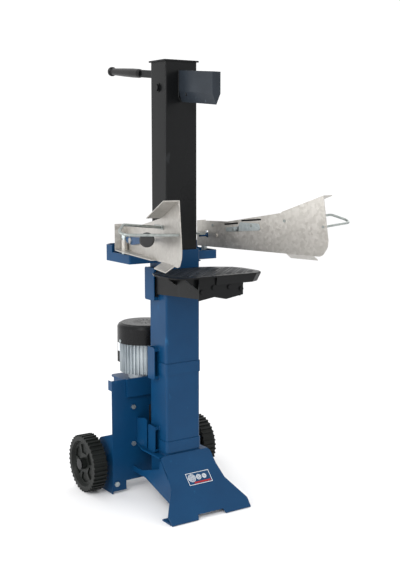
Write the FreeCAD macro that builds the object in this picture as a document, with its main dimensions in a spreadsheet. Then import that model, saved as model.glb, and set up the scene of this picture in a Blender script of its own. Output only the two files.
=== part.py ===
import FreeCAD, Part

import math
import os

import Sketcher

# Upright electric log splitter: millimetres, +Z up, front towards -Y.
# The origin is on the ground under the middle of the whole machine.

doc = FreeCAD.newDocument("log_splitter")
Vector = FreeCAD.Vector
Rotation = FreeCAD.Rotation
X, Y, Z = Vector(1, 0, 0), Vector(0, 1, 0), Vector(0, 0, 1)

# ---------------------------------------------------------------- driving sizes
SIZES = {
    "column_back": 19.2,      # the column's axis lies this far behind the origin
    "column_width": 132,
    "column_depth": 109,
    "column_wall": 3.5,
    "column_corner": 7,
    "slide_gap": 0.3,
    "pipe_x": 14,             # oil pipes, to each side of the middle
    "pipe_z": 84,
    "rod_y": 78,              # control rod, behind the column
    "hook_front": 7,
    "hook_back": 38,          # rear ends of the small pockets
    "column_foot": 60,
    "column_top": 865,
    "ram_width": 121,
    "ram_depth": 94,
    "ram_wall": 4,
    "ram_foot": 680,
    "ram_top": 1475,
    "cap_thick": 5,
    "bore": 60,               # cylinder bore
    "barrel": 72,             # cylinder barrel outside
    "barrel_foot": 92,
    "barrel_top": 640,
    "rod": 35,
    "carrier_half": 173,      # arm carrier, half width
    "carrier_foot": 822,
    "carrier_height": 30,
    "carrier_back": 184,
    "carrier_rise": 24,       # the rear wall stands this much higher
    "sheet": 3,               # common sheet thickness
    "plate": 5,               # common plate thickness
    "hook_upper": 695,        # lower ends of the hook pockets
    "hook_middle": 425,
    "hook_lower": 170.4,
    "hook_tall": 110,
    "hook_short": 92,         # the lowest pockets stand on the base plate
    "strap_tall": 38,
    "hook_gap": 16.5,         # slot width between pocket and column
    "handle_z": 1438,
    "handle_rise": 5.7,
    "table_top": 805,
    "table_half": 172,
    "table_front": 285,
    "support_half": 84,
    "wedge_root_top": 1447,
    "wedge_half": 15,
    "wedge_side": 66,
    "wedge_taper": 34,
    "wedge_nose": 247,
    "wedge_start": 92,        # where the blade's full width starts
    "wedge_drop": 17,
    "arm_x": 140,             # inner rear corner of each arm
    "arm_y": 75,
    "arm_turn": 13.16,        # degrees outward from straight ahead
    "arm_foot": 862,
    "arm_tall": 88,
    "arm_reach": 557,
    "post_u": 22,             # arm pivot post, along the arm and outward
    "post_w": 14,
    "post": 16,
    "hub_tall": 42,           # from the arm's foot to the pivot nut
    "lever_u": 88,            # lever pivot bolt
    "lever_z": 901,
    "panel_half": 177,        # rear panel, half width
    "panel_face": 126,
    "panel_top": 406,
    "axle_y": 218,
    "wheel": 202,
    "wheel_width": 56,
    "wheel_face": 255,
    "axle_z": 101,
    "axle": 20,
    "motor_y": 203,
    "motor_foot": 409,
    "lid_top": 386,           # top of the tank's lid
    "cover_radius": 98,
    "cover_foot": 517,
    "cover_top": 586,
    "base_half": 95,
    "foot_half": 155,
    "foot_front": 229,
    "base_deck": 165,
    "tank_half": 88,
    "tank_foot": 120,
    "filler_x": 55,
    "filler_z": 250,
    "gear_pitch": 18,         # pitch radius of the pump gears
    "pump_foot": 254,
    "spool_y": 86,
    "valve_foot": 240,
    "rocker": 905.4,          # under side of the levers' rocker
}


class Size:
    """A length that keeps its spreadsheet formula together with its value."""

    def __init__(self, formula, value):
        self.formula, self.value = formula, float(value)

    def join(self, other, sign, value):
        return Size("(%s %s %s)" % (self.formula, sign, formula_of(other)), value)

    def __add__(self, other):
        return self.join(other, "+", self.value + number(other))

    def __sub__(self, other):
        return self.join(other, "-", self.value - number(other))

    def __mul__(self, other):
        return self.join(other, "*", self.value * number(other))

    def __truediv__(self, other):
        return self.join(other, "/", self.value / number(other))

    def __neg__(self):
        return Size("(-1 * %s)" % self.formula, -self.value)

    def __radd__(self, other):
        return Size("(%s + %s)" % (formula_of(other), self.formula), other + self.value)

    def __rsub__(self, other):
        return Size("(%s - %s)" % (formula_of(other), self.formula), other - self.value)

    __rmul__ = __mul__


def number(size):
    return size.value if isinstance(size, Size) else float(size)


def formula_of(size):
    return size.formula if isinstance(size, Size) else "(%.6g)" % size


def write_sheet():
    sheet = doc.addObject("Spreadsheet::Sheet", "sizes")
    for row, (name, value) in enumerate(SIZES.items(), 1):
        sheet.set("A%d" % row, name)
        sheet.set("B%d" % row, str(value))
        sheet.setAlias("B%d" % row, name)
    doc.recompute()
    return {name: Size("sizes." + name, value) for name, value in SIZES.items()}


S = write_sheet()
NODES = []


def set_size(thing, path, size):
    """Give a property its value and tie it to the sheet."""
    if isinstance(size, Size):
        thing.setExpression(path, size.formula)


def node(thing, label):
    """Name a finished sub-part after the file that it is written to."""
    thing.Label = label
    NODES.append(thing)
    return thing


def place(thing, x=0, y=0, z=0, axis=Z, angle=0):
    """Put a piece where it belongs, measured from the column's axis on the ground."""
    y = S["column_back"] + y
    spot = Vector(number(x), number(y), number(z))
    thing.Placement = FreeCAD.Placement(spot, Rotation(axis, number(angle)))
    for letter, size in zip("xyz", (x, y, z)):
        set_size(thing, "Placement.Base." + letter, size)
    return thing


# ---------------------------------------------------------------- PartDesign helpers
def new_body(name):
    return doc.addObject("PartDesign::Body", name)


def new_sketch(body, role, offset=0):
    sketch = body.newObject("Sketcher::SketchObject", "outline")
    plane = [f for f in body.Origin.OriginFeatures if f.Role == role][0]
    sketch.AttachmentSupport = [(plane, "")]
    sketch.MapMode = "FlatFace"
    sketch.AttachmentOffset = FreeCAD.Placement(Vector(0, 0, number(offset)), Rotation())
    set_size(sketch, "AttachmentOffset.Base.z", offset)
    return sketch


def draw_outline(sketch, points):
    """A closed outline of straight lines, each corner tied to the sheet."""
    first = sketch.GeometryCount
    count = len(points)
    spots = [Vector(number(x), number(y), 0) for x, y in points]
    for here, there in zip(spots, spots[1:] + spots[:1]):
        sketch.addGeometry(Part.LineSegment(here, there), False)
    for step in range(count):
        line, after = first + step, first + (step + 1) % count
        sketch.addConstraint(Sketcher.Constraint("Coincident", line, 2, after, 1))
    for step, (x, y) in enumerate(points):
        for kind, size in (("DistanceX", x), ("DistanceY", y)):
            rule = Sketcher.Constraint(kind, -1, 1, first + step, 1, number(size))
            index = sketch.addConstraint(rule)
            set_size(sketch, "Constraints[%d]" % index, size)


def draw_circle(sketch, x, y, radius):
    circle = Part.Circle(Vector(number(x), number(y), 0), Z, number(radius))
    index = sketch.addGeometry(circle, False)
    for kind, size in (("DistanceX", x), ("DistanceY", y)):
        rule = Sketcher.Constraint(kind, -1, 1, index, 3, number(size))
        spot = sketch.addConstraint(rule)
        set_size(sketch, "Constraints[%d]" % spot, size)
    spot = sketch.addConstraint(Sketcher.Constraint("Radius", index, number(radius)))
    set_size(sketch, "Constraints[%d]" % spot, radius)


def draw(sketch, outlines):
    """Outlines are lists of corners, or circles given as (x, y, radius)."""
    for outline in outlines:
        if isinstance(outline, tuple):
            draw_circle(sketch, *outline)
        else:
            draw_outline(sketch, outline)
    return sketch


def pad(body, role, outlines, length, offset=0, middle=False, reverse=False):
    sketch = draw(new_sketch(body, role, offset), outlines)
    feature = body.newObject("PartDesign::Pad", "pad")
    feature.Profile = sketch
    feature.Length = number(length)
    set_size(feature, "Length", length)
    feature.Midplane = middle
    feature.Reversed = reverse
    doc.recompute()
    return feature


def pocket(body, role, outlines, offset=0, length=None, reverse=False):
    """Cut right through, or to a depth, and make sure that something was cut."""
    before = body.Shape.Volume
    sketch = draw(new_sketch(body, role, offset), outlines)
    feature = body.newObject("PartDesign::Pocket", "pocket")
    feature.Profile = sketch
    if length is None:
        feature.Type = "ThroughAll"
        feature.Midplane = True
    else:
        feature.Length = number(length)
        set_size(feature, "Length", length)
        feature.Reversed = reverse
    doc.recompute()
    if body.Shape.Volume > before - 1:
        raise RuntimeError("%s: a pocket cut nothing" % body.Label)
    return feature


def revolve(body, outline):
    """Turn a (radius, height) outline about the upright axis."""
    sketch = draw(new_sketch(body, "XZ_Plane"), [outline])
    feature = body.newObject("PartDesign::Revolution", "turned")
    feature.Profile = sketch
    feature.ReferenceAxis = (sketch, ["V_Axis"])
    feature.Angle = 360
    doc.recompute()
    return feature


def polar(body, feature, count):
    """Repeat a feature about the upright axis."""
    pattern = body.newObject("PartDesign::PolarPattern", "around")
    pattern.Originals = [feature]
    axis = [f for f in body.Origin.OriginFeatures if f.Role == "Z_Axis"][0]
    pattern.Axis = (axis, [""])
    pattern.Angle = 360
    pattern.Occurrences = count
    body.Tip = pattern
    doc.recompute()
    return pattern


def along(edge, direction):
    """Is this a straight edge along a direction?"""
    if len(edge.Vertexes) != 2:
        return False
    run = edge.Vertexes[1].Point - edge.Vertexes[0].Point
    return abs(run.normalize().dot(direction)) > 0.999


def near(edge, spots, reach=0.6):
    """Does an edge pass one of these places? None in a place means anywhere."""
    middle = edge.CenterOfMass
    for spot in spots:
        if all(want is None or abs(have - number(want)) < reach
               for have, want in zip(middle, spot)):
            return True
    return False


def round_edges(body, radius, direction, spots=None):
    """Round the straight edges along a direction, all of them or those at some places."""
    base = body.Tip
    names = []
    for index, edge in enumerate(base.Shape.Edges, 1):
        if along(edge, direction) and (spots is None or near(edge, spots)):
            names.append("Edge%d" % index)
    if not names:
        raise RuntimeError("%s: no edge to round" % body.Label)
    feature = body.newObject("PartDesign::Fillet", "rounding")
    feature.Base = (base, names)
    feature.Radius = number(radius)
    set_size(feature, "Radius", radius)
    doc.recompute()
    return feature


def rectangle(half_x, half_y, middle_x=0, middle_y=0):
    left, right = middle_x - half_x, middle_x + half_x
    low, high = middle_y - half_y, middle_y + half_y
    return [(left, low), (right, low), (right, high), (left, high)]


def span(left, right, low, high):
    return [(left, low), (right, low), (right, high), (left, high)]


# ---------------------------------------------------------------- Part helpers
def drum(name, radius, height, x=0, y=0, z=0, axis=Z, angle=0):
    """A plain cylinder standing at a place, or lying along a turned axis."""
    thing = doc.addObject("Part::Cylinder", name)
    thing.Radius, thing.Height = number(radius), number(height)
    set_size(thing, "Radius", radius)
    set_size(thing, "Height", height)
    return place(thing, x, y, z, axis, angle)


def block(name, long, deep, high, x=0, y=0, z=0):
    thing = doc.addObject("Part::Box", name)
    thing.Length, thing.Width, thing.Height = number(long), number(deep), number(high)
    for path, size in (("Length", long), ("Width", deep), ("Height", high)):
        set_size(thing, path, size)
    return place(thing, x, y, z)


def hexagon(name, radius, height, x=0, y=0, z=0, axis=Z, angle=0):
    thing = doc.addObject("Part::Prism", name)
    thing.Polygon, thing.Circumradius, thing.Height = 6, number(radius), number(height)
    return place(thing, x, y, z, axis, angle)


def fuse(name, pieces):
    """Pieces that are welded into one."""
    thing = doc.addObject("Part::MultiFuse", name)
    thing.Shapes = pieces
    return thing


def cut(name, whole, tool):
    thing = doc.addObject("Part::Cut", name)
    thing.Base, thing.Tool = whole, tool
    return thing


def group(label, pieces):
    """Separate solids that share one node."""
    thing = doc.addObject("Part::Compound", label)
    thing.Links = pieces
    return node(thing, label)


TURN = {"+y": (X, -90), "-y": (X, 90), "+x": (Y, 90), "-x": (Y, -90), "+z": (Z, 0), "-z": (X, 180)}


def bolt(name, radius, head, x, y, z, way, shank=0):
    """A hexagon head standing out of a face, with its shank going the other way."""
    axis, angle = TURN[way]
    pieces = [hexagon(name + "_head", radius * 1.9, head, x, y, z, axis, angle)]
    if shank:
        back, turn = TURN[{"+": "-", "-": "+"}[way[0]] + way[1]]
        pieces.append(drum(name + "_shank", radius, shank, x, y, z, back, turn))
        return fuse(name, pieces)
    return pieces[0]


# ---------------------------------------------------------------- column and cylinder
def tube_body(name, width, depth, wall, low, high, corner):
    """A rectangular tube with rounded corners."""
    body = new_body(name)
    inside_x, inside_y = width / 2 - wall, depth / 2 - wall
    outlines = [rectangle(width / 2, depth / 2), rectangle(inside_x, inside_y)]
    pad(body, "XY_Plane", outlines, high - low, offset=low)
    round_edges(body, corner, Z, corners(width / 2, depth / 2))
    round_edges(body, corner - wall, Z, corners(inside_x, inside_y))
    return place(body)


def corners(half_x, half_y):
    """Places of the four upright edges of a box about the column's axis."""
    return [(x * half_x, y * half_y, None) for x in (-1, 1) for y in (-1, 1)]


def make_column():
    column = tube_body("column", S["column_width"], S["column_depth"],
                       S["column_wall"], S["column_foot"], S["column_top"], S["column_corner"])
    pocket(column, "XZ_Plane", [(x * S["pipe_x"], S["pipe_z"], 6.6) for x in (-1, 1)],
           offset=10 - S["column_depth"] / 2, length=20)
    node(column, "column_tube")

    inner_x = S["column_width"] / 2 - S["column_wall"]
    inner_y = S["column_depth"] / 2 - S["column_wall"]
    gap = S["slide_gap"]
    liner = new_body("liner")
    ring = [rectangle(inner_x, inner_y),
            rectangle(S["ram_width"] / 2 + gap, S["ram_depth"] / 2 + gap)]
    pad(liner, "XY_Plane", ring, 80, offset=S["column_top"] - 82)
    round_edges(liner, S["column_corner"] - S["column_wall"], Z, corners(inner_x, inner_y))
    node(place(liner), "guide_liner")


def make_cylinder():
    """A fixed barrel standing inside the column, closed by a foot and by a gland."""
    inner_x = S["column_width"] / 2 - S["column_wall"]
    inner_y = S["column_depth"] / 2 - S["column_wall"]
    outside, barrel_foot, top = S["barrel"] / 2, S["barrel_foot"], S["barrel_top"]
    foot = new_body("foot")
    pad(foot, "XY_Plane", [rectangle(inner_x, inner_y)], 8, offset=S["column_foot"])
    round_edges(foot, S["column_corner"] - S["column_wall"], Z)
    pad(foot, "XY_Plane", [(0, 0, outside)], barrel_foot - S["column_foot"] - 8,
        offset=S["column_foot"] + 8)
    place(foot)
    tube = [drum(name, radius, top - barrel_foot, z=barrel_foot)
            for name, radius in (("barrel_outside", outside), ("barrel_bore", S["bore"] / 2))]
    node(cut("barrel", *tube), "cylinder_barrel")
    ring = [drum(name, radius, 26, z=top)
            for name, radius in (("gland_outside", outside), ("gland_bore", S["rod"] / 2 + 0.06))]
    group("cylinder_ends", [foot, cut("gland", *ring)])


# ---------------------------------------------------------------- arm carrier and hooks
def make_carrier():
    """A folded tray behind the column, with a wing on each side for an arm."""
    body = new_body("carrier")
    wide, back, wall, bevel = S["carrier_half"], S["carrier_back"], S["plate"] - 1, 26
    hole_x, hole_y = S["column_width"] / 2 + 0.1, S["column_depth"] / 2 + 0.1
    floor = [(-wide, 0), (-hole_x, 0), (-hole_x, hole_y), (hole_x, hole_y), (hole_x, 0),
             (wide, 0), (wide, back - bevel), (wide - bevel, back), (bevel - wide, back),
             (-wide, back - bevel)]
    pad(body, "XY_Plane", [floor], wall, offset=S["carrier_foot"])
    tall, low = S["carrier_height"] - wall, S["carrier_foot"] + wall
    for side in (-1, 1):
        front = span(*outward(side, hole_x, wide), 0, wall)
        end = span(*outward(side, wide - wall, wide), 0, back - bevel)
        pad(body, "XY_Plane", [front], tall, offset=low)
        pad(body, "XY_Plane", [end], tall, offset=low)
        high_end = span(*outward(side, wide - wall, wide), back - bevel - 38, back - bevel)
        corner = [(side * wide, back - bevel), (side * (wide - bevel), back),
                  (side * (wide - bevel), back - wall), (side * (wide - wall), back - bevel)]
        pad(body, "XY_Plane", [high_end], tall + S["carrier_rise"], offset=low)
        pad(body, "XY_Plane", [corner], tall + S["carrier_rise"], offset=low)
    rear = span(bevel - wide, wide - bevel, back - wall, back)
    pad(body, "XY_Plane", [rear], tall + S["carrier_rise"], offset=low)
    pocket(body, "XY_Plane", [(0, S["rod_y"], 6)])
    round_edges(body, 5, Z, [(x * wide, 0, None) for x in (-1, 1)])
    node(place(body), "arm_carrier")


def outward(side, near, far):
    """Two distances out from the middle, on one side, as left and right limits."""
    return sorted((side * near, side * far), key=number)


def make_hooks(label, low, tall, back, strap_low=0, strap_tall=0):
    """Two pockets on the column's sides, open to the front, and the strap that joins them."""
    body = new_body("hooks")
    wall, lip, front = S["sheet"], 12, -S["hook_front"]
    inner = S["column_width"] / 2
    outer = inner + S["hook_gap"] + wall
    for side in (-1, 1):
        plate = span(*outward(side, outer - wall, outer), front, back)
        rear = span(*outward(side, inner, outer - wall), back - wall, back)
        lips = span(*outward(side, inner, outer - wall), front, front + wall)
        pad(body, "XY_Plane", [plate], tall, offset=low)
        pad(body, "XY_Plane", [rear], tall, offset=low)
        pad(body, "XY_Plane", [lips], lip, offset=low)
        pad(body, "XY_Plane", [lips], lip, offset=low + tall - lip)
    for spot in (back, front):
        round_edges(body, 7, X, [(None, spot, low), (None, spot, low + tall)])
    if number(strap_tall):
        nose = S["column_depth"] / 2
        outline = [(-inner - wall, front), (-inner - wall, -nose - wall),
                   (inner + wall, -nose - wall), (inner + wall, front), (inner, front),
                   (inner, -nose), (-inner, -nose), (-inner, front)]
        pad(body, "XY_Plane", [outline], strap_tall, offset=strap_low)
        round_edges(body, 9, Z, [(x * (inner + wall), -nose - wall, None) for x in (-1, 1)])
        round_edges(body, 7, Z, [(x * inner, -nose, None) for x in (-1, 1)])
    node(place(body), label)


# ---------------------------------------------------------------- base
def make_base():
    deck, wall = S["base_deck"], S["plate"]
    front = S["column_depth"] / 2 + 5
    wide, feet, nose = S["base_half"], S["foot_half"], S["foot_front"]
    slope = math.hypot(number(nose - front), number(deck + wall))
    lean = math.degrees(math.atan2(number(deck + wall), number(nose - front)))

    # The sloping plate is drawn flat, measured up from its foot edge, and then leaned back.
    face = new_body("sloping_plate")
    outline = [(55, 0), (50, 17), (-50, 17), (-55, 0), (-feet, 0), (-feet - 2, 34),
               (-wide - 12, 122), (-wide - 3, 178), (-wide - 3, slope), (wide + 3, slope),
               (wide + 3, 178), (wide + 12, 122), (feet + 2, 34), (feet, 0)]
    pad(face, "XY_Plane", [outline], wall)
    round_edges(face, 14, Z, [(x * (wide + 3), slope, None) for x in (-1, 1)])
    round_edges(face, 12, Z, [(x * (wide + 12), 122, None) for x in (-1, 1)])
    place(face, 0, -nose, 0, X, lean)
    tabs = [block("foot_tab", feet - 63, 52, wall, left, 9 - nose, 0) for left in (-feet, 63)]
    node(fuse("front_foot", [face] + tabs), "front_foot_plate")

    top = new_body("deck_plate")
    hole_x, hole_y = S["column_width"] / 2 + 0.1, S["column_depth"] / 2 + 0.1
    back = S["panel_face"]
    outline = [(-wide - 3, 4 - front), (wide + 3, 4 - front), (wide + 3, 60), (wide - 16, back),
               (16 - wide, back), (-wide - 3, 60)]
    pad(top, "XY_Plane", [outline, rectangle(hole_x, hole_y)], wall, offset=deck)
    pocket(top, "XY_Plane", [(x * S["pipe_x"], 86, 8) for x in (-1, 1)])
    place(top)
    webs = []
    for side in (-1, 1):
        web = new_body("web")
        outline = [(44 - nose, 20), (-66, 158), (-58, 158), (-52, 128), (60, 92), (back, 90),
                   (back, 72), (40, 72), (50 - nose, 12)]
        pad(web, "YZ_Plane", [outline], wall - 1, offset=side * wide - (wall - 1) / 2)
        webs.append(place(web))
    for side in (-1, 1):
        plate = new_body("side_plate")
        outline = [(front - 2, deck + wall), (back, deck + wall), (back, 262), (front + 12, 274),
                   (front - 2, 268)]
        pad(plate, "YZ_Plane", [outline], wall - 2, offset=side * 78 - (wall - 2) / 2)
        webs.append(place(plate))
    group("base_frame", [top] + webs)


# ---------------------------------------------------------------- rear panel, wheels
def make_rear():
    wide, face, top, sheet = S["panel_half"], S["panel_face"], S["panel_top"], S["sheet"]
    panel = new_body("panel")
    outline = [(-wide, 10), (-124, 10), (-124, 42), (124, 42), (124, 10), (wide, 10),
               (wide, top), (-wide, top)]
    pad(panel, "XZ_Plane", [outline], sheet, offset=-face - sheet)
    for side in (-1, 1):
        ear = span(*outward(side, wide - sheet, wide), face + sheet, face + 27)
        pad(panel, "XY_Plane", [ear], 34, offset=top - 36)
    node(place(panel), "rear_panel")

    cover = new_body("cover")
    deep, half, wall = 13, 123, S["sheet"]
    shell = [(face - deep, 342), (face, 342), (face, top), (face - deep / 2, top)]
    pad(cover, "YZ_Plane", [shell], 2 * half, middle=True)
    round_edges(cover, wall, X, [(None, face - deep, 342)])
    hollow = [(face - 10, 346), (face, 346), (face, top - 4), (face - 4, top - 4)]
    pocket(cover, "YZ_Plane", [hollow], offset=wall - half, length=2 * (half - wall), reverse=True)
    node(place(cover), "valve_cover")

    cheeks = []
    for side in (-1, 1):
        cheek = new_body("cheek")
        outline = [(face + sheet, 0), (face + sheet, 217), (face + 90, 186), (262, 140),
                   (262, 62), (208, 0)]
        pad(cheek, "YZ_Plane", [outline], sheet, offset=side * wide - (sheet if side > 0 else 0))
        pocket(cheek, "YZ_Plane", [(S["axle_y"], S["axle_z"], S["axle"] / 2)])
        round_edges(cheek, 14, X, [(None, 262, 140), (None, 262, 62), (None, face + 90, 186)])
        cheeks.append(place(cheek))
    group("axle_cheeks", cheeks)


def make_tank():
    tank = new_body("tank")
    sheet = S["sheet"]
    half, low, high, back = S["tank_half"], S["tank_foot"], S["lid_top"] - 5, 290
    front, wall = S["panel_face"] + sheet, 4
    pad(tank, "XY_Plane", [span(-half, half, front, back)], high - low, offset=low)
    round_edges(tank, 16, Z, [(x * half, back, None) for x in (-1, 1)])
    pocket(tank, "XY_Plane", [span(wall - half, half - wall, front + wall, back - wall)],
           offset=high, length=high - low - wall)
    pocket(tank, "XZ_Plane", [(S["filler_x"], S["filler_z"], 13)], offset=-back + 8, length=30)
    node(place(tank), "oil_tank")

    lid = new_body("lid")
    pad(lid, "XY_Plane", [span(-half - 6, half + 6, front, back + 6), (0, S["motor_y"], 30)], 5,
        offset=high)
    round_edges(lid, 18, Z, [(x * (half + 6), back + 6, None) for x in (-1, 1)])
    node(place(lid), "tank_lid")

    spot = (S["filler_x"], back - 18, S["filler_z"])
    filler = fuse("filler", [drum("filler_neck", 12.9, 22, *spot, *TURN["+y"]),
                             hexagon("filler_head", 17, 10, spot[0], back + 4, spot[2], *TURN["+y"])])
    node(filler, "oil_filler_plug")


def make_wheel(label, side):
    """A moulded wheel: tread band with lugs, web with recesses, hub."""
    body = new_body("wheel")
    radius, width = S["wheel"] / 2, S["wheel_width"]
    bore = S["axle"] / 2 + 0.1
    outline = [(bore, 0), (20, 0), (20, 14), (radius - 26, 14), (radius - 20, 3),
               (radius - 5, 3), (radius - 5, width - 3), (radius - 17, width - 3),
               (radius - 23, 22), (24, 22), (24, width), (bore, width)]
    revolve(body, outline)
    recess = [(34, -16), (62, -24), (70, 0), (62, 24), (34, 16)]
    window = pocket(body, "XY_Plane", [recess], offset=19, length=19)
    polar(body, window, 6)
    lug = pad(body, "XY_Plane", [[(radius - 6, -3.2), (radius, -2.6), (radius, 2.6),
                                  (radius - 6, 3.2)]], width - 6, offset=3)
    polar(body, lug, 38)
    place(body, side * S["wheel_face"], S["axle_y"], S["axle_z"], Y, -90 * side)
    node(body, label)


def make_wheels():
    half, gap = S["wheel_face"] + 0.3, S["slide_gap"]
    start = S["panel_half"]
    bar = drum("axle_bar", S["axle"] / 2, 2 * half, -half, S["axle_y"], S["axle_z"], *TURN["+x"])
    pieces = [bar]
    for side, name, way in ((-1, "left", "-x"), (1, "right", "+x")):
        make_wheel(name + "_wheel", side)
        spot = (side * start, S["axle_y"], S["axle_z"])
        long = S["wheel_face"] - S["wheel_width"] - start - gap
        pieces.append(cut("spacer", drum("spacer_outside", 16, long, *spot, *TURN[way]),
                          drum("spacer_hole", S["axle"] / 2, long, *spot, *TURN[way])))
        pieces.append(drum("cap", 19, 6, side * half, S["axle_y"], S["axle_z"], *TURN[way]))
    group("axle", pieces)


# ---------------------------------------------------------------- motor and pump
def make_motor():
    mid, foot, seat = S["motor_y"], S["motor_foot"], 24
    flange = new_body("flange")
    drop = S["lid_top"] - foot
    revolve(flange, [(seat, 0), (50, 0), (50, drop), (60, drop), (60, 0), (66, 0), (66, 18),
                     (seat, 18)])
    shield = new_body("shield")
    revolve(shield, [(seat, 104), (66, 104), (66, 115.2), (88, 115.2), (88, 120), (seat, 120)])
    group("motor_end_shields", [place(thing, 0, mid, foot) for thing in (flange, shield)])

    body = new_body("finned_body")
    tall, low, inside = 114.8, 0.2, 66.2
    pad(body, "XY_Plane", [(0, 0, 79), (0, 0, inside)], tall, offset=low)
    fin = pad(body, "XY_Plane", [[(76, -1.5), (90, -1.1), (90, 1.1), (76, 1.5)]], tall, offset=low)
    polar(body, fin, 40)
    node(place(body, 0, mid, foot), "motor_body")

    stator = new_body("winding")
    pad(stator, "XY_Plane", [(0, 0, 66), (0, 0, 45)], 70, offset=26)
    node(place(stator, 0, mid, foot), "stator")

    bearings = [cut("bearing", drum("bearing_out", seat - 0.1, 12, 0, mid, foot + height),
                    drum("bearing_in", 12.05, 12, 0, mid, foot + height)) for height in (4, 106)]
    group("motor_bearings", bearings)

    cover = new_body("cover")
    radius, tall = S["cover_radius"], S["cover_top"] - S["cover_foot"]
    revolve(cover, [(radius - 3, 0), (radius, 0), (radius, tall - 14), (radius - 5, tall - 5),
                    (radius - 14, tall), (0, tall), (0, tall - 3), (radius - 15, tall - 3),
                    (radius - 8, tall - 7), (radius - 3, tall - 15)])
    slot = pocket(cover, "XY_Plane", [[(14, -1), (44, -1.4), (44, 1.4), (14, 1)]])
    polar(cover, slot, 16)
    node(place(cover, 0, mid, S["cover_foot"]), "fan_cover")


def gear(label, x, y, turn, bore=None):
    """A twelve-tooth pump gear with straight-flanked teeth."""
    body = new_body("gear")
    pitch, module, low = S["gear_pitch"], S["gear_pitch"] / 6, S["pump_foot"] + 7.3
    tall, root, tip = 44.6, pitch - module * 1.25, pitch + module * 0.9
    pad(body, "XY_Plane", [(0, 0, root)] + ([(0, 0, bore)] if bore else []), tall, offset=low)
    flank = [(root - 1, -2.8), (pitch, -1.9), (tip, -0.8), (tip, 0.8), (pitch, 1.9), (root - 1, 2.8)]
    tooth = pad(body, "XY_Plane", [flank], tall, offset=low)
    polar(body, tooth, 12)
    node(place(body, x, y, 0, Z, turn), label)


def make_pump():
    """A gear pump hanging in the tank from a bell housing under the motor."""
    mid, pitch, low = S["motor_y"], S["gear_pitch"], S["pump_foot"]
    body = new_body("pump")
    block_outline = rectangle(56, 34, pitch, 0)
    tall, floor, shaft = 52, 7, 9
    pad(body, "XY_Plane", [block_outline], tall, offset=low)
    round_edges(body, 12, Z)
    for x in (0, 2 * pitch):
        pocket(body, "XY_Plane", [(x, 0, 21.4)], offset=low + tall, length=tall - floor)
    node(place(body, 0, mid), "pump_body")

    cover = new_body("pump_lid")
    base = low + tall + 0.2
    pad(cover, "XY_Plane", [block_outline, (0, 0, shaft + 0.05)], 12, offset=base)
    round_edges(cover, 12, Z)
    node(place(cover, 0, mid), "pump_cover")

    bell = new_body("bell")
    pad(bell, "XY_Plane", [(0, 0, 48), (0, 0, 42)], S["lid_top"] - 5 - base - 12,
        offset=base + 12)
    node(place(bell, 0, mid), "bell_housing")

    gear("drive_gear", 0, mid, 0, shaft)
    gear("driven_gear", 2 * pitch, mid, 15)
    rotor_shaft = new_body("shaft")
    revolve(rotor_shaft, [(0, 0), (shaft, 0), (shaft, 122), (12, 122), (12, 288), (8, 288),
                          (8, 306), (0, 306)])
    place(rotor_shaft, 0, mid, low + floor + 0.3)
    core = new_body("core")
    pad(core, "XY_Plane", [(0, 0, 44.6), (0, 0, 12)], 68, offset=S["motor_foot"] + 27)
    group("motor_shaft", [rotor_shaft, place(core, 0, mid)])
    fan = new_body("fan")
    pad(fan, "XY_Plane", [(0, 0, 20), (0, 0, 8)], 16, offset=549.5)
    blade = pad(fan, "XY_Plane", [span(18, 84, -1.5, 1.5)], 16, offset=549.5)
    polar(fan, blade, 8)
    node(place(fan, 0, mid), "cooling_fan")


def make_valve():
    """Valve block, spool and its spring, with the rod up to the levers' rocker."""
    block_y, low, tall, spool, face = S["spool_y"], S["valve_foot"], 78, 8, S["panel_face"]
    body = new_body("valve")
    pad(body, "XY_Plane", [rectangle(34, 24, 0, block_y), (0, block_y, spool + 0.05)], tall,
        offset=low)
    round_edges(body, 4, Z, [(x * 34, block_y + y * 24, None) for x in (-1, 1) for y in (-1, 1)])
    bracket = new_body("bracket")
    outline = [(block_y + 24, low + 6), (block_y + 24, low + 62), (face, low + 62), (face, low + 6)]
    pad(bracket, "YZ_Plane", [outline], 60, middle=True)
    seat = new_body("spring_seat")
    outline = span(-16, 16, 64, face - 13)
    pad(seat, "XY_Plane", [outline, (0, block_y, spool + 0.6)], 4, offset=low + 120)
    group("valve_block", [place(thing) for thing in (body, bracket, seat)])

    wire, coil_radius, length = 1.2, 11, 28
    coil = Part.makeHelix(length / 6, length, coil_radius)
    square = [Vector(coil_radius + x * wire, 0, z * wire)
              for x, z in ((-1, -1), (1, -1), (1, 1), (-1, 1), (-1, -1))]
    section = Part.makePolygon(square)
    spring = doc.addObject("Part::Feature", "coil")
    spring.Shape = Part.Wire(coil.Edges).makePipeShell([section], True, True)
    place(spring, 0, block_y, low + 90.2)
    node(spring, "spool_spring")

    rod_y, rocker = S["rod_y"], S["rocker"]
    rod = new_body("rod")
    pad(rod, "XY_Plane", [(0, block_y, spool)], 126 + 8, offset=low - 8)
    pad(rod, "XY_Plane", [span(-8, 8, rod_y - 6, block_y + 8)], 8, offset=low + 126)
    pad(rod, "XY_Plane", [(0, rod_y, 5)], rocker - low - 134, offset=low + 134)
    pad(rod, "XY_Plane", [(0, block_y, 13)], 4, offset=low + 84.5)
    bar = new_body("rocker")
    outline = [(-128, 6), (-106, 6), (-106, 68), (106, 68), (106, 6), (128, 6), (128, 84),
               (-128, 84)]
    pad(bar, "XY_Plane", [outline], 6, offset=rocker)
    round_edges(bar, 10, Z, [(x * 128, 84, None) for x in (-1, 1)])
    nut = bolt("rod_nut", 5, 6, 0, rod_y, rocker + 6, "+z")
    group("control_rod", [place(rod), place(bar), nut])


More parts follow.
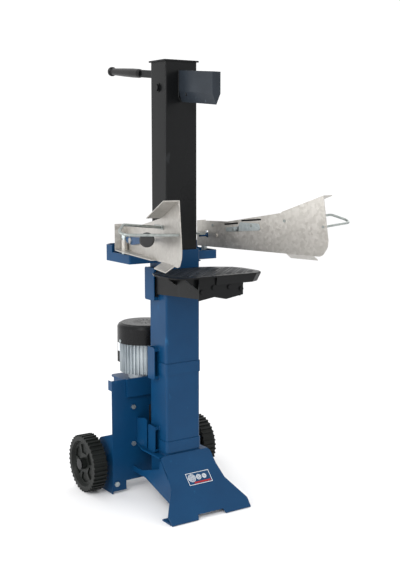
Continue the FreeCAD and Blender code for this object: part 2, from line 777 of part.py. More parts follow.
def make_pipes():
    """Two oil pipes from the valve down and forward into the foot of the cylinder."""
    bend, radius, top, foot, end = 18, 6, S["valve_foot"], S["pipe_z"], 36.3
    back = S["spool_y"]
    pipes = []
    for side in (-1, 1):
        body = new_body("pipe")
        path = new_sketch(body, "YZ_Plane", offset=side * S["pipe_x"])
        corner = Vector(number(back), number(foot), 0)
        rise, run = corner + Vector(0, bend, 0), corner - Vector(bend, 0, 0)
        middle = corner + Vector(-1, 1, 0) * (bend * (1 - math.sqrt(0.5)))
        for piece in (Part.LineSegment(Vector(number(back), number(top), 0), rise),
                      Part.Arc(rise, middle, run),
                      Part.LineSegment(run, Vector(end, number(foot), 0))):
            path.addGeometry(piece, False)
        ring = new_sketch(body, "XY_Plane", offset=top)
        spot = (side * S["pipe_x"], back)
        draw(ring, [(*spot, radius), (*spot, radius - 2)])
        doc.recompute()
        pipe = body.newObject("PartDesign::AdditivePipe", "pipe")
        pipe.Profile = ring
        pipe.Spine = (path, ["Edge1", "Edge2", "Edge3"])
        doc.recompute()
        pipes.append(place(body))
    group("oil_pipes", pipes)


# ---------------------------------------------------------------- switch box
def make_switch():
    """The switch box on the motor's back: two buttons above a recessed power inlet."""
    back, low, deep, wall = S["motor_y"] + 91, S["motor_foot"] + 12, 46, 3
    button, button_z, inlet, inlet_z = 11, low + 66, 16, low + 26
    box = new_body("box")
    pad(box, "XY_Plane", [span(-40, 40, back, back + deep)], 96, offset=low)
    round_edges(box, 6, Z)
    pocket(box, "XZ_Plane", [span(-33, 33, low + 6, low + 90)], offset=-back - deep,
           length=deep - wall, reverse=True)
    plate = new_body("plate")
    holes = [(x, button_z, button + 0.3) for x in (-14, 14)] + [(0, inlet_z, inlet)]
    pad(plate, "XZ_Plane", [span(-32.8, 32.8, low + 6.2, low + 89.8)] + holes, wall,
        offset=-back - deep)
    group("switch_box", [place(box), place(plate)])
    for name, x in (("start_button", -14), ("stop_button", 14)):
        node(drum("push", button, 11, x, back + deep - 6, button_z, *TURN["+y"]), name)
    spot = (0, back + 14, inlet_z)
    shell = cut("inlet", drum("inlet_out", inlet - 0.1, 34, *spot, *TURN["+y"]),
                drum("inlet_in", inlet - 3, 30, 0, back + 20, inlet_z, *TURN["+y"]))
    pins = [drum("inlet_pin", 2.4, 22, x, back + 20, inlet_z + z, *TURN["+y"])
            for x, z in ((-6, -3), (6, -3), (0, 6))]
    group("power_inlet", [shell] + pins)


# ---------------------------------------------------------------- ram
def make_ram():
    node(tube_body("ram", S["ram_width"], S["ram_depth"], S["ram_wall"], S["ram_foot"],
                   S["ram_top"], S["column_corner"] - 1), "ram_tube")
    half_x, half_y = S["ram_width"] / 2, S["ram_depth"] / 2
    cap = new_body("cap")
    pad(cap, "XY_Plane", [rectangle(half_x + 6, half_y + 4)], S["cap_thick"], offset=S["ram_top"])
    round_edges(cap, 4, Z)
    node(place(cap), "ram_cap")

    slider = new_body("slider")
    wide = S["column_width"] / 2 - S["column_wall"] - S["slide_gap"]
    deep = S["column_depth"] / 2 - S["column_wall"] - S["slide_gap"]
    pad(slider, "XY_Plane", [rectangle(wide, deep), rectangle(half_x, half_y)], 42,
        offset=S["ram_foot"] + 4)
    round_edges(slider, 3.8, Z, corners(wide, deep))
    node(place(slider), "ram_slider")

    foot, top, radius = 606, 1371, S["rod"] / 2
    rod = drum("rod_bar", radius, top - foot, z=foot)
    eye = new_body("eye")
    pad(eye, "XY_Plane", [rectangle(half_x - S["ram_wall"], half_y - S["ram_wall"])], 44, offset=top)
    round_edges(eye, 4, Z)
    piston = [drum(name, size, 26, z=foot + 2)
              for name, size in (("piston_out", S["bore"] / 2 - 0.06), ("piston_hole", radius))]
    group("piston_rod", [rod, place(eye), cut("piston", *piston)])

    heads = []
    for x, way in ((-1, "-x"), (1, "+x")):
        washer = drum("cross_washer", 15, 2.5, x * half_x, 0, top + 22, *TURN[way])
        head = drum("cross_head", 11, 6, x * (half_x + 2.5), 0, top + 22, *TURN[way])
        heads.append(fuse("cross_bolt", [washer, head]))
    group("rod_cross_bolt", heads)


def wedge_section(half, side, taper, top):
    """The wedge seen from the front: straight sides above a sharp lower edge."""
    return [(-half, top), (half, top), (half, top - side), (0, top - side - taper),
            (-half, top - side)]


def make_wedge():
    """A blade welded to the ram's front by a slimmer root, its nose tipped down a little."""
    root_y, nose = S["ram_depth"] / 2, S["wedge_nose"]
    drop = S["wedge_drop"] / (nose - root_y)

    def between(name, half, near_y, far_y):
        body = new_body(name)
        rings = []
        for distance in (near_y, far_y):
            ring = new_sketch(body, "XZ_Plane", offset=distance)
            top = S["wedge_root_top"] - drop * (distance - root_y)
            draw(ring, [wedge_section(half, S["wedge_side"], S["wedge_taper"], top)])
            rings.append(ring)
        doc.recompute()
        loft = body.newObject("PartDesign::AdditiveLoft", "between")
        loft.Profile, loft.Sections, loft.Ruled = rings[0], [rings[1]], True
        doc.recompute()
        return place(body)

    half, start = S["wedge_half"], S["wedge_start"]
    group("wedge", [between("root", half - 4, root_y, start), between("blade", half, start, nose)])


def make_handle():
    """The push-down handle behind the ram: a flat neck and a turned grip."""
    rise, long = S["handle_rise"], 163
    start, height = S["ram_depth"] / 2 + 1.4, S["handle_z"]
    neck = new_body("neck")
    pad(neck, "XZ_Plane", [rectangle(5, 13)], long, reverse=True)
    round_edges(neck, 4, Y)
    node(place(neck, 0, start, height, X, rise), "handle_neck")
    grip = new_body("grip")
    revolve(grip, [(0, 0), (11, 0), (13.5, 3), (15.6, 14), (15.8, 60), (14.6, 120), (12.6, 190),
                   (12.4, 206), (16.5, 209), (16.5, 217), (14, 220), (0, 220)])
    turn = math.radians(number(rise))
    node(place(grip, 0, start + long * math.cos(turn), height + long * math.sin(turn), X,
               rise - 90), "handle_grip")


# ---------------------------------------------------------------- table
def make_table():
    top, half, front = S["table_top"], S["table_half"], S["table_front"]
    wall = S["plate"]
    under = top - wall
    plate = new_body("plate")
    back_x, back_y = S["column_width"] / 2 - 2, S["column_depth"] / 2 + 5
    right = [(back_x, -back_y), (110, -80), (half - 20, -112), (half - 2, -150), (half, -190),
             (half, 45 - front), (half - 13, 15 - front), (half - 42, -front)]
    left = [(-x, y) for x, y in reversed(right)]
    pad(plate, "XY_Plane", [right + left], wall, offset=under)
    round_edges(plate, 30, Z, [(x * 110, -80, None) for x in (-1, 1)])
    skirt, rim = 24, 3
    rings = []
    for drop, inset_x, inset_y in ((0, 0, 0), (skirt, 12, 4)):
        side, nose = half - inset_x, inset_y - front
        band = [(-22, nose), (side - 42, nose), (side - 13, nose + 15), (side, nose + 45),
                (side, -190), (side - 2, -150), (side - 2 - rim, -150), (side - rim, -190),
                (side - rim, nose + 46), (side - 16, nose + 18), (side - 43, nose + rim),
                (-22, nose + rim)]
        rings.append(draw(new_sketch(plate, "XY_Plane", offset=under - drop), [band]))
    doc.recompute()
    loft = plate.newObject("PartDesign::AdditiveLoft", "rim")
    loft.Profile, loft.Sections, loft.Ruled = rings[0], [rings[1]], True
    doc.recompute()
    node(place(plate), "table_plate")

    wide, sheet, gap = S["support_half"], wall + 1, S["slide_gap"]
    nose, lip, catch = 13 - front, S["hook_upper"] + 12, 3
    pieces = []
    for side in (-1, 1):
        bracket = new_body("bracket")
        behind = catch + gap - S["hook_front"]
        outline = [(nose, under), (nose, under - 66), (-S["hook_front"] - 2, under - 82),
                   (-S["hook_front"] - 2, lip + gap), (behind, lip + gap), (behind, lip - 10),
                   (30, lip - 10), (30, under - 36), (-S["hook_front"] - 2, under - 36),
                   (-S["hook_front"] - 2, under)]
        inner = side * (wide - 6) - (sheet if side > 0 else 0)
        pad(bracket, "YZ_Plane", [outline], sheet, offset=inner)
        pieces.append(place(bracket))
        for spot in (-135, -262):
            gusset = new_body("gusset")
            reach, tall = 46, 38
            edge = side * (wide - 6)
            outline = [(edge, under), (edge + side * reach, under),
                       (edge + side * reach, under - 3), (edge, under - tall)]
            pad(gusset, "XZ_Plane", [outline], wall, offset=-spot - wall)
            pieces.append(place(gusset))
    face = new_body("face")
    outline = [(-wide, under), (wide, under), (wide, under - 62), (18, under - 72),
               (-27, under - 62), (-wide, under - 70)]
    pad(face, "XZ_Plane", [outline], wall, offset=-nose)
    pieces.append(place(face))
    group("table_support", pieces)
    bolts = [bolt("table_bolt", 4, 5, x, nose - wall, under - drop, "-y")
             for x, drop in ((-30, 32), (75, 43), (-74, 43), (30, 34))]
    group("table_bolts", bolts)


# ---------------------------------------------------------------- arms and levers
# Each arm is drawn straight ahead along -Y, its web on X = 0 and its outer side
# away from the middle, and is then turned outward about its inner rear corner.
def arm_place(thing, side):
    return place(thing, side * S["arm_x"], S["arm_y"], 0, Z, side * S["arm_turn"])


def spot_on_arm(side, forward, outer, height):
    """Where a place on an arm lies, measured from the column's axis."""
    turn = math.radians(number(S["arm_turn"]))
    x = number(S["arm_x"]) + forward * math.sin(turn) + outer * math.cos(turn)
    y = number(S["arm_y"]) - forward * math.cos(turn) + outer * math.sin(turn)
    return Vector(side * x, y, height)


def outer_way(side):
    """The level direction that points outward from an arm's web."""
    return (spot_on_arm(side, 0, 1, 0) - spot_on_arm(side, 0, 0, 0)).normalize()


def solid(name, shape):
    """A shape made in place, measured from the column's axis."""
    thing = doc.addObject("Part::Feature", name)
    thing.Shape = shape
    return place(thing)


def slab(name, side, role, outlines, thick, start):
    """A piece of an arm: from `start` outward on YZ, upward on XY, forward on XZ."""
    body = new_body(name)
    if role == "YZ_Plane" and side < 0:
        start = -start - thick
    pad(body, role, outlines, thick, offset=start)
    return body


def arm_web(side):
    """The galvanised sheet that widens to a claw, with its grooves, and two flanges."""
    low, sheet, reach = S["arm_foot"], S["sheet"], S["arm_reach"]
    high, wing = low + S["arm_tall"], 42
    outline = [(0, low), (0, high), (-143, high + 3), (-373, high + 42), (-376, high + 46),
               (-538, high + 103), (8 - reach, high + 30), (-reach - 2, low + 53),
               (-reach, low + 30), (-536, low), (-376, low)]
    web = slab("web", side, "YZ_Plane", [outline], sheet, 0)
    round_edges(web, 24, X, [(None, -reach, low + 30), (None, -536, low)])
    toe = S["lever_u"] - 42
    pocket(web, "YZ_Plane", [span(-toe - 7, 7 - toe, S["lever_z"] - 8, S["lever_z"] + 16)])
    grooves = [[(-127, 939), (-190, 946), (-190, 953), (-127, 946)],
               [(-203, 955), (-290, 963), (-290, 970), (-203, 962)]]
    pocket(web, "YZ_Plane", grooves, length=sheet / 2, reverse=side > 0)
    rear = new_body("rear_flange")
    pad(rear, "XY_Plane", [span(*outward(side, sheet, wing), -sheet, 0)], high - low - 4,
        offset=low + 4)
    floor = new_body("floor_flange")
    outline = [(side * sheet, 0), (side * wing, 0), (side * wing, -60), (side * 20, -330),
               (side * sheet, -330)]
    pad(floor, "XY_Plane", [outline], sheet, offset=low)
    pocket(floor, "XY_Plane", [(side * S["post_w"], -S["post_u"], 11.2)])
    return [web, rear, floor]


def claw_flanges(side):
    """The level flange along the claw's top and the drooping one along its foot."""
    low, sheet = S["arm_foot"], S["sheet"]
    high = low + S["arm_tall"]
    near, far = high + 46, high + 103
    top = [(-378, near - sheet), (-537, far - sheet), (-537, far), (-378, near)]
    foot = [(side * sheet, low), (side * sheet, low + sheet), (side * 30, low - 14),
            (side * 30, low - 17)]
    return [slab("claw_top", side, "YZ_Plane", [top], 45, sheet),
            slab("claw_foot", side, "XZ_Plane", [foot], 108, 392)]


def make_arm(side, name):
    low = S["arm_foot"]
    post = (side * S["post_w"], -S["post_u"])
    hub = new_body("hub")
    pad(hub, "XY_Plane", [(*post, 11), (*post, S["post"] / 2 + 0.05)],
        S["hub_tall"] - 6, offset=low)

    bracket_face = [(-138, 918), (-282, 930), (-290, 938), (-284, 952), (-203, 954.8),
                    (-196, 947), (-190, 938.8), (-138, 933)]
    bracket = slab("bracket", side, "YZ_Plane", [bracket_face], 2, -2)
    round_edges(bracket, 4, X, [(None, -290, 938), (None, -284, 952)])
    pieces = [arm_place(thing, side) for thing in arm_web(side) + [hub] + claw_flanges(side)]
    group(name + "_arm", pieces + [arm_place(bracket, side)] + lever_bolt(side))


def arm_post(side):
    """The upright pivot post with its spacer below the arm and its nut above."""
    low, foot = S["arm_foot"], S["carrier_foot"] + S["plate"] - 1
    spot = spot_on_arm(side, number(S["post_u"]), number(S["post_w"]), 0)
    radius, top = S["post"] / 2, low + S["hub_tall"]
    bar = drum("post", radius, top - foot, spot.x, spot.y, foot)
    tall = low - foot - S["slide_gap"]
    spacer = cut("spacer", drum("spacer_outside", 10, tall, spot.x, spot.y, foot),
                 drum("spacer_inside", radius, tall, spot.x, spot.y, foot))
    nut = fuse("nut", [drum("washer", 10.8, 2.5, spot.x, spot.y, top),
                       hexagon("hex", 10.5, 9, spot.x, spot.y, top + 2.5)])
    return [bar, spacer, nut]


def bent_rod(spots, radius, bend):
    """A round rod through a few places, with an arc at each inner corner."""
    edges = []
    here = spots[0]
    for before, corner, after in zip(spots, spots[1:], spots[2:]):
        back, ahead = (before - corner).normalize(), (after - corner).normalize()
        half = math.acos(back.dot(ahead)) / 2
        start, end = (corner + way * (bend / math.tan(half)) for way in (back, ahead))
        inward = (back + ahead).normalize()
        centre = corner + inward * (bend / math.sin(half))
        edges.append(Part.makeLine(here, start))
        edges.append(Part.Arc(start, centre - inward * bend, end).toShape())
        here = end
    edges.append(Part.makeLine(here, spots[-1]))
    begin = (spots[1] - spots[0]).normalize()
    section = Part.Wire(Part.makeCircle(radius, spots[0], begin))
    return Part.Wire(edges).makePipeShell([section], True, True)


def make_guard(side, name):
    """The bent rod round the lever's grip, screwed to the arm at both ends."""
    foot = number(S["sheet"]) + 0.6
    spots = [spot_on_arm(side, 540, foot, 956), spot_on_arm(side, 527, 180, 961),
             spot_on_arm(side, 467, 143, 984), spot_on_arm(side, 391, foot + 5.2, 967)]
    rod = solid("rod", bent_rod(spots, 4, 22))
    flat = slab("flat", side, "YZ_Plane", [[(-322, 959), (-404, 961), (-404, 973), (-322, 971)]], 3,
                S["sheet"])
    way, screws = outer_way(side), []
    for forward, height, start in ((171, 927, -2), (250, 944.8, -2), (388, 967, 0), (76, 937, 0),
                                   (540, 956, 0)):
        head = Part.makeCylinder(4.6, 3, spot_on_arm(side, forward, start, height), way * -1)
        screws.append(solid("screw", head))
    group(name + "_hand_guard", [rod, arm_place(flat, side)] + screws)


def make_lever(side, name):
    """A lever on the arm's outer side: flat bar, toe pin, bent rod and grip."""
    pivot, height, sheet = S["lever_u"], S["lever_z"], S["sheet"]
    near, thick = sheet + 4, 6
    outline = [(52 - pivot, height - 9), (52 - pivot, height + 9), (-pivot - 18, height + 13),
               (-262, 926), (-262, 911), (-pivot - 14, height - 13)]
    bar = slab("bar", side, "YZ_Plane", [outline], thick, near)
    pocket(bar, "YZ_Plane", [(-pivot, height, 6.05)])
    round_edges(bar, 8, X, [(None, 52 - pivot, height - 9), (None, 52 - pivot, height + 9)])
    way = outer_way(side)
    u, z, inner = number(pivot), number(height), number(near)
    toe = solid("toe_pin", Part.makeCylinder(4, 42, spot_on_arm(side, u - 42, inner, z), way * -1))

    radius, start = 6, spot_on_arm(side, 226, inner + 12, 917.5)
    bend = spot_on_arm(side, 288, inner + 12, 920.8)
    ahead = (spot_on_arm(side, 470, 75, 939) - spot_on_arm(side, 350, 38, 927)).normalize()
    grip_start, grip_long = bend + ahead * 72.5, 119
    tip = grip_start + ahead * (grip_long - 2.2)
    first = Part.makeCylinder(radius, (bend - start).Length, start, bend - start)
    second = Part.makeCylinder(radius, (tip - bend).Length, bend, ahead)
    rod = solid("rod", first.fuse([second, Part.makeSphere(radius, bend)]).removeSplitter())
    group(name + "_lever", [arm_place(bar, side), toe, rod])

    profile = [(radius, 0), (17, 0), (19, 4), (19.6, 30), (20, 90), (21.5, 110), (21.5, 115),
               (18, grip_long), (0, grip_long), (0, grip_long - 2), (radius, grip_long - 2),
               (radius, 0)]
    out = ahead.cross(Z).normalize()
    corners_of_grip = [grip_start + out * r + ahead * run for r, run in profile]
    grip = Part.Face(Part.makePolygon(corners_of_grip)).revolve(grip_start, ahead, 360)
    node(solid("grip", grip), name + "_lever_grip")


def lever_bolt(side):
    """The lever's pivot bolt through the arm: shank and washer outside, head inside."""
    way = outer_way(side)
    axis = spot_on_arm(side, number(S["lever_u"]), 0, number(S["lever_z"]))
    start = number(S["sheet"])
    shank = Part.makeCylinder(6, 14, axis + way * start, way)
    end = Part.makeCylinder(10, 4, axis + way * (start + 10.4), way)
    head = Part.makeCylinder(8.4, 4, axis - way * 4, way)
    return [solid("pivot", shank.fuse(end).removeSplitter()), solid("pivot_head", head)]


# ---------------------------------------------------------------- fasteners
def make_fasteners():
    face = S["panel_face"]
    bolts = [bolt("panel_bolt", 4.5, 6, x * 94, face, z, "-y") for x in (-1, 1) for z in (172, 304)]
    bolts += [bolt("foot_bolt", 5, 6, x * 162, face, 36, "-y") for x in (-1, 1)]
    for x, way in ((-1, "-x"), (1, "+x")):
        bolts.append(bolt("cover_screw", 3, 3, x * S["cover_radius"], S["motor_y"],
                          S["cover_foot"] + 9, way))
    group("frame_bolts", bolts)


# ---------------------------------------------------------------- build
make_column()
make_cylinder()
make_carrier()
make_hooks("upper_hooks", S["hook_upper"], S["hook_tall"], S["column_depth"] / 2 - 2)
make_hooks("middle_hooks", S["hook_middle"], S["hook_tall"], S["hook_back"],
           S["hook_middle"] + 22, S["strap_tall"])
make_hooks("lower_hooks", S["hook_lower"], S["hook_short"], S["hook_back"],
           S["hook_lower"] + 9, S["strap_tall"])
make_base()
make_rear()
make_tank()
make_wheels()
make_motor()
make_pump()
make_valve()
make_pipes()
make_switch()
make_ram()
make_wedge()
make_handle()
make_table()
posts = []
for side, name in ((-1, "left"), (1, "right")):
    make_arm(side, name)
    make_guard(side, name)
    posts += arm_post(side)
    make_lever(side, name)
group("arm_posts", posts)
make_fasteners()
doc.recompute()


def check_and_write():
    faulty = [thing.Label for thing in doc.Objects
              if "Invalid" in thing.State or "Error" in thing.State]
    faulty += [thing.Label for thing in NODES if thing.Shape.isNull() or not thing.Shape.isValid()]
    if faulty:
        raise RuntimeError("failed objects: " + ", ".join(faulty))
    os.makedirs("parts", exist_ok=True)
    for thing in NODES:
        thing.Shape.exportStep("parts/%s.step" % thing.Label)
    print("%d sub-parts" % len(NODES))


check_and_write()
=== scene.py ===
import math

import bpy
from mathutils import Matrix, Vector


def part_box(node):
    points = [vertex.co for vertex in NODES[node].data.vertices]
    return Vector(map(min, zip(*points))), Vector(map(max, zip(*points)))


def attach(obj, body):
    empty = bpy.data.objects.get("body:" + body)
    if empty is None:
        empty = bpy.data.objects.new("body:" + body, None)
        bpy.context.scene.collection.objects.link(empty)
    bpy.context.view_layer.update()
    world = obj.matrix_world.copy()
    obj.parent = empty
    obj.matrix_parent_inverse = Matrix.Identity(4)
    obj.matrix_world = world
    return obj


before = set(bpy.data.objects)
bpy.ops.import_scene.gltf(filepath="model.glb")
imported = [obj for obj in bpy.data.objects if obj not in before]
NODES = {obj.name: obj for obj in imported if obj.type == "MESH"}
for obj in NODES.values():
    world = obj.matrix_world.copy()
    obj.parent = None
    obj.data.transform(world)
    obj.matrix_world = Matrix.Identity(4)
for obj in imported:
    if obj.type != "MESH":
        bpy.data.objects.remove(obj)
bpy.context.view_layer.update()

MM = 0.001


# ------------------------------------------------------------------ materials
def hex_colour(code):
    """An sRGB hex code as a linear colour."""
    levels = [int(code[i:i + 2], 16) / 255 for i in (1, 3, 5)]
    linear = [v / 12.92 if v <= 0.04045 else ((v + 0.055) / 1.055) ** 2.4 for v in levels]
    return (*linear, 1.0)


def add(tree, kind, inputs=None, **settings):
    """Adds one node, with its settings, and its inputs as values or as links."""
    node = tree.nodes.new("ShaderNode" + kind)
    for name, value in settings.items():
        setattr(node, name, value)
    for name, value in (inputs or {}).items():
        if isinstance(value, bpy.types.NodeSocket):
            tree.links.new(value, node.inputs[name])
        else:
            node.inputs[name].default_value = value
    return node


def new_material(name):
    """An empty material, with its tree, its surface node and its object coordinates."""
    material = bpy.data.materials.new(name)
    material.use_nodes = True
    tree = material.node_tree
    tree.nodes.clear()
    surface = add(tree, "BsdfPrincipled")
    add(tree, "OutputMaterial", {"Surface": surface.outputs["BSDF"]})
    place = add(tree, "TexCoord").outputs["Object"]
    return material, tree, surface, place


def speckle(tree, place, size, detail=3.0, stretch=(1, 1, 1)):
    """Noise with grains of a real size, in metres, as a value from 0 to 1."""
    squeezed = add(tree, "Mapping", {"Vector": place, "Scale": stretch})
    return add(tree, "TexNoise", {"Vector": squeezed.outputs["Vector"], "Scale": 1 / size,
                                  "Detail": detail, "Roughness": 0.55}).outputs["Fac"]


def spread(tree, value, low, high, start=0.3, end=0.7):
    """A value stretched between two limits."""
    return add(tree, "MapRange", {"Value": value, "From Min": start, "From Max": end,
                                  "To Min": low, "To Max": high}).outputs["Result"]


def mixed(tree, factor, first, second):
    """Two colours mixed by a factor."""
    node = add(tree, "Mix", data_type="RGBA")
    for index, value in ((0, factor), (6, first), (7, second)):
        if isinstance(value, bpy.types.NodeSocket):
            tree.links.new(value, node.inputs[index])
        else:
            node.inputs[index].default_value = value
    return node.outputs[2]


def set_surface(tree, surface, **inputs):
    """Sets or links inputs of the surface, named with underscores for spaces."""
    for name, value in inputs.items():
        socket = surface.inputs[name.replace("_", " ")]
        if isinstance(value, bpy.types.NodeSocket):
            tree.links.new(value, socket)
        else:
            socket.default_value = value


def relief(tree, surface, height, depth, strength=0.5):
    """Bumps of a real depth, in metres."""
    bump = add(tree, "Bump", {"Height": height, "Distance": depth, "Strength": strength})
    tree.links.new(bump.outputs["Normal"], surface.inputs["Normal"])


def enamel(name, colour, shade, wear_and_sheen, gloss=0.34):
    """Powder coat on sheet steel: an even colour, an orange-peel skin and a few dull scuffs, which on
    the blade are wear drawn in the grey of its lit face, a painted highlight.

    The skin's real grain is about 1 mm. It is drawn at 4 mm, so that it breaks up the shine."""
    material, tree, surface, place = new_material(name)
    clouds = speckle(tree, place, 0.16, 4)
    base = mixed(tree, spread(tree, clouds, 0, 1), hex_colour(colour), hex_colour(shade))
    scuffs = speckle(tree, place, 0.035, 8, (1, 1, 0.35))
    mask = spread(tree, scuffs, 0, 1, 0.66, 0.74)
    # Scuff patches: real wear, and on the blade their colour is also a painted highlight.
    base = mixed(tree, mask, base, hex_colour(wear_and_sheen))
    skin = speckle(tree, place, 0.004, 2)
    rough = add(tree, "Math", {0: spread(tree, clouds, gloss - 0.05, gloss + 0.08),
                               1: spread(tree, mask, 0, 0.16, 0, 1)}, operation="ADD")
    set_surface(tree, surface, Base_Color=base, Roughness=rough.outputs[0], IOR=1.5,
                Specular_IOR_Level=0.16, Coat_Weight=0.03, Coat_Roughness=0.12)
    relief(tree, surface, skin, 0.0004, 0.22)
    return material


def galvanised(name):
    """Hot-dipped zinc on sheet: crystals about 9 mm across, each with its own grey and shine."""
    material, tree, surface, place = new_material(name)
    warp = add(tree, "TexNoise", {"Vector": place, "Scale": 1 / 0.02, "Detail": 2.0})
    bent = add(tree, "MixRGB", {"Fac": 0.012, "Color1": place, "Color2": warp.outputs["Color"]})
    crystal = add(tree, "TexVoronoi", {"Vector": bent.outputs["Color"], "Scale": 1 / 0.009})
    grey = add(tree, "RGBToBW", {"Color": crystal.outputs["Color"]}).outputs["Val"]
    base = mixed(tree, grey, hex_colour("#A8A49E"), hex_colour("#C6C3BE"))
    drift = speckle(tree, place, 0.12, 5)
    base = mixed(tree, spread(tree, drift, 0, 0.5), base, hex_colour("#B5B2AC"))
    brushed = speckle(tree, place, 0.006, 3, (1, 1, 8))
    set_surface(tree, surface, Base_Color=base, Metallic=0.82,
                Roughness=spread(tree, grey, 0.36, 0.5, 0, 1))
    relief(tree, surface, brushed, 0.0003, 0.12)
    return material


def zinc_plate(name, colour="#A6ABA8", shade="#868C8A"):
    """Blue-white zinc plating on wire and screws: bright, with a faint cloudy bloom."""
    material, tree, surface, place = new_material(name)
    bloom = speckle(tree, place, 0.012, 4)
    base = mixed(tree, spread(tree, bloom, 0, 1), hex_colour(colour), hex_colour(shade))
    set_surface(tree, surface, Base_Color=base, Metallic=0.85,
                Roughness=spread(tree, bloom, 0.32, 0.45))
    relief(tree, surface, speckle(tree, place, 0.002, 2), 0.0001, 0.15)
    return material


def machined_steel(name, colour="#A3A5A8", turned=40):
    """Bare turned steel: fine rings left by the tool, drawn at 1.5 mm so that they show."""
    material, tree, surface, place = new_material(name)
    rings = add(tree, "TexWave", {"Vector": place, "Scale": turned, "Distortion": 1.5,
                                  "Detail": 2.0}, wave_type="BANDS", bands_direction="Z")
    smear = speckle(tree, place, 0.03, 5)
    base = mixed(tree, spread(tree, smear, 0, 1), hex_colour(colour), hex_colour("#7C7E82"))
    set_surface(tree, surface, Base_Color=base, Metallic=1.0,
                Roughness=spread(tree, smear, 0.22, 0.4))
    relief(tree, surface, rings.outputs["Fac"], 0.0001, 0.2)
    return material


def hard_chrome(name):
    """Ground hard chrome on the piston rod: near mirror, with hairline grinding marks."""
    material, tree, surface, place = new_material(name)
    hair = speckle(tree, place, 0.003, 4, (1, 1, 14))
    set_surface(tree, surface, Base_Color=mixed(tree, hair, hex_colour("#D9DCE0"),
                                                hex_colour("#BFC3C9")),
                Metallic=1.0, Roughness=spread(tree, hair, 0.06, 0.16))
    return material


def die_cast(name, colour, shade):
    """Die-cast aluminium, shot-blasted: pale grey with a sandy grain, drawn at 3 mm."""
    material, tree, surface, place = new_material(name)
    grit = speckle(tree, place, 0.003, 5)
    stain = speckle(tree, place, 0.06, 4)
    base = mixed(tree, spread(tree, stain, 0, 1), hex_colour(colour), hex_colour(shade))
    set_surface(tree, surface, Base_Color=base, Metallic=0.55,
                Roughness=spread(tree, grit, 0.42, 0.6))
    relief(tree, surface, grit, 0.0005, 0.35)
    return material


def cast_iron(name):
    """Grey cast iron with an oily film: dark, pitted and uneven."""
    material, tree, surface, place = new_material(name)
    pits = speckle(tree, place, 0.005, 6)
    base = mixed(tree, spread(tree, pits, 0, 1), hex_colour("#3A3B3D"), hex_colour("#25262A"))
    set_surface(tree, surface, Base_Color=base, Metallic=0.7, Roughness=spread(tree, pits, 0.45, 0.7))
    relief(tree, surface, pits, 0.0008, 0.5)
    return material


def moulded(name, colour, shade, rough=0.5, grain=0.003):
    """Injection-moulded ABS or polypropylene: an even colour under a fine spark-eroded grain."""
    material, tree, surface, place = new_material(name)
    grains = speckle(tree, place, grain, 4)
    flow = speckle(tree, place, 0.07, 3)
    base = mixed(tree, spread(tree, flow, 0, 1), hex_colour(colour), hex_colour(shade))
    set_surface(tree, surface, Base_Color=base, IOR=1.5, Specular_IOR_Level=0.2,
                Roughness=spread(tree, grains, rough - 0.08, rough + 0.1))
    relief(tree, surface, grains, 0.0004, 0.3)
    return material


def soft_rubber(name):
    """Soft PVC on the grips: deep black with a dull bloom and dust in its grain."""
    material, tree, surface, place = new_material(name)
    dust = speckle(tree, place, 0.02, 6)
    base = mixed(tree, spread(tree, dust, 0, 1, 0.45, 0.8), hex_colour("#101011"),
                 hex_colour("#232324"))
    set_surface(tree, surface, Base_Color=base, IOR=1.52,
                Roughness=spread(tree, dust, 0.42, 0.66))
    relief(tree, surface, speckle(tree, place, 0.0025, 3), 0.0004, 0.35)
    return material


def enamelled_wire(name):
    """Copper winding under varnish: lengthwise wires about 1.5 mm apart."""
    material, tree, surface, place = new_material(name)
    wires = add(tree, "TexWave", {"Vector": place, "Scale": 70.0, "Distortion": 2.0},
                wave_type="RINGS", rings_direction="Z")
    base = mixed(tree, wires.outputs["Fac"], hex_colour("#6E3517"), hex_colour("#B5652E"))
    set_surface(tree, surface, Base_Color=base, Metallic=0.7, Roughness=0.35)
    relief(tree, surface, wires.outputs["Fac"], 0.0008, 0.6)
    return material


BLUE = enamel("blue_powder_coat", "#0B3D63", "#08365A", "#185079")
BLACK = enamel("black_powder_coat", "#121314", "#0E0F10", "#232527", 0.3)
# The blade's scuff colour, #5A6670, is the grey of its lit face: its scuffs are wear and painted
# highlight together.
BLADE = enamel("blade_enamel_wear_and_painted_sheen", "#2B3138", "#20252B", "#5A6670", 0.32)
GALVANISED = galvanised("hot_dip_galvanised")
ZINC = zinc_plate("zinc_plated_wire")
BOLT_ZINC = zinc_plate("zinc_plated_bolts", "#C3CBCB", "#A2ABAD")
TREAD = enamel("scuffed_chequer_lugs", "#3A3E42", "#2A2D30", "#6A7076", 0.4)
WELD = enamel("painted_weld", "#0D3B60", "#093053", "#1F5580", 0.4)
STEEL = machined_steel("turned_steel")
SPRING_STEEL = machined_steel("oiled_spring_steel", "#6B6D72", 90)
CHROME = hard_chrome("hard_chrome")
MOTOR_ALUMINIUM = die_cast("motor_aluminium", "#C3CACD", "#A9B1B6")
PUMP_ALUMINIUM = die_cast("pump_aluminium", "#A9ADB0", "#8F9498")
IRON = cast_iron("oily_cast_iron")
BLACK_ABS = moulded("black_abs", "#0E0E0F", "#131315", 0.3)
WHEEL_PLASTIC = moulded("wheel_polypropylene", "#121412", "#1A1D1B", 0.5, 0.005)
NYLON = moulded("guide_nylon", "#D8D6CC", "#C5C2B5", 0.45)
GREEN = moulded("green_button", "#0E7A2B", "#0B6A25", 0.3)
RED = moulded("red_button", "#B5161B", "#9C1216", 0.3)
PALE_PRINT = moulded("label_white", "#E6E8EA", "#DADDE0", 0.35)
RED_PRINT = moulded("label_red", "#A32A2C", "#972427", 0.35)
GRIP = soft_rubber("grip_pvc")
COPPER = enamelled_wire("varnished_winding")

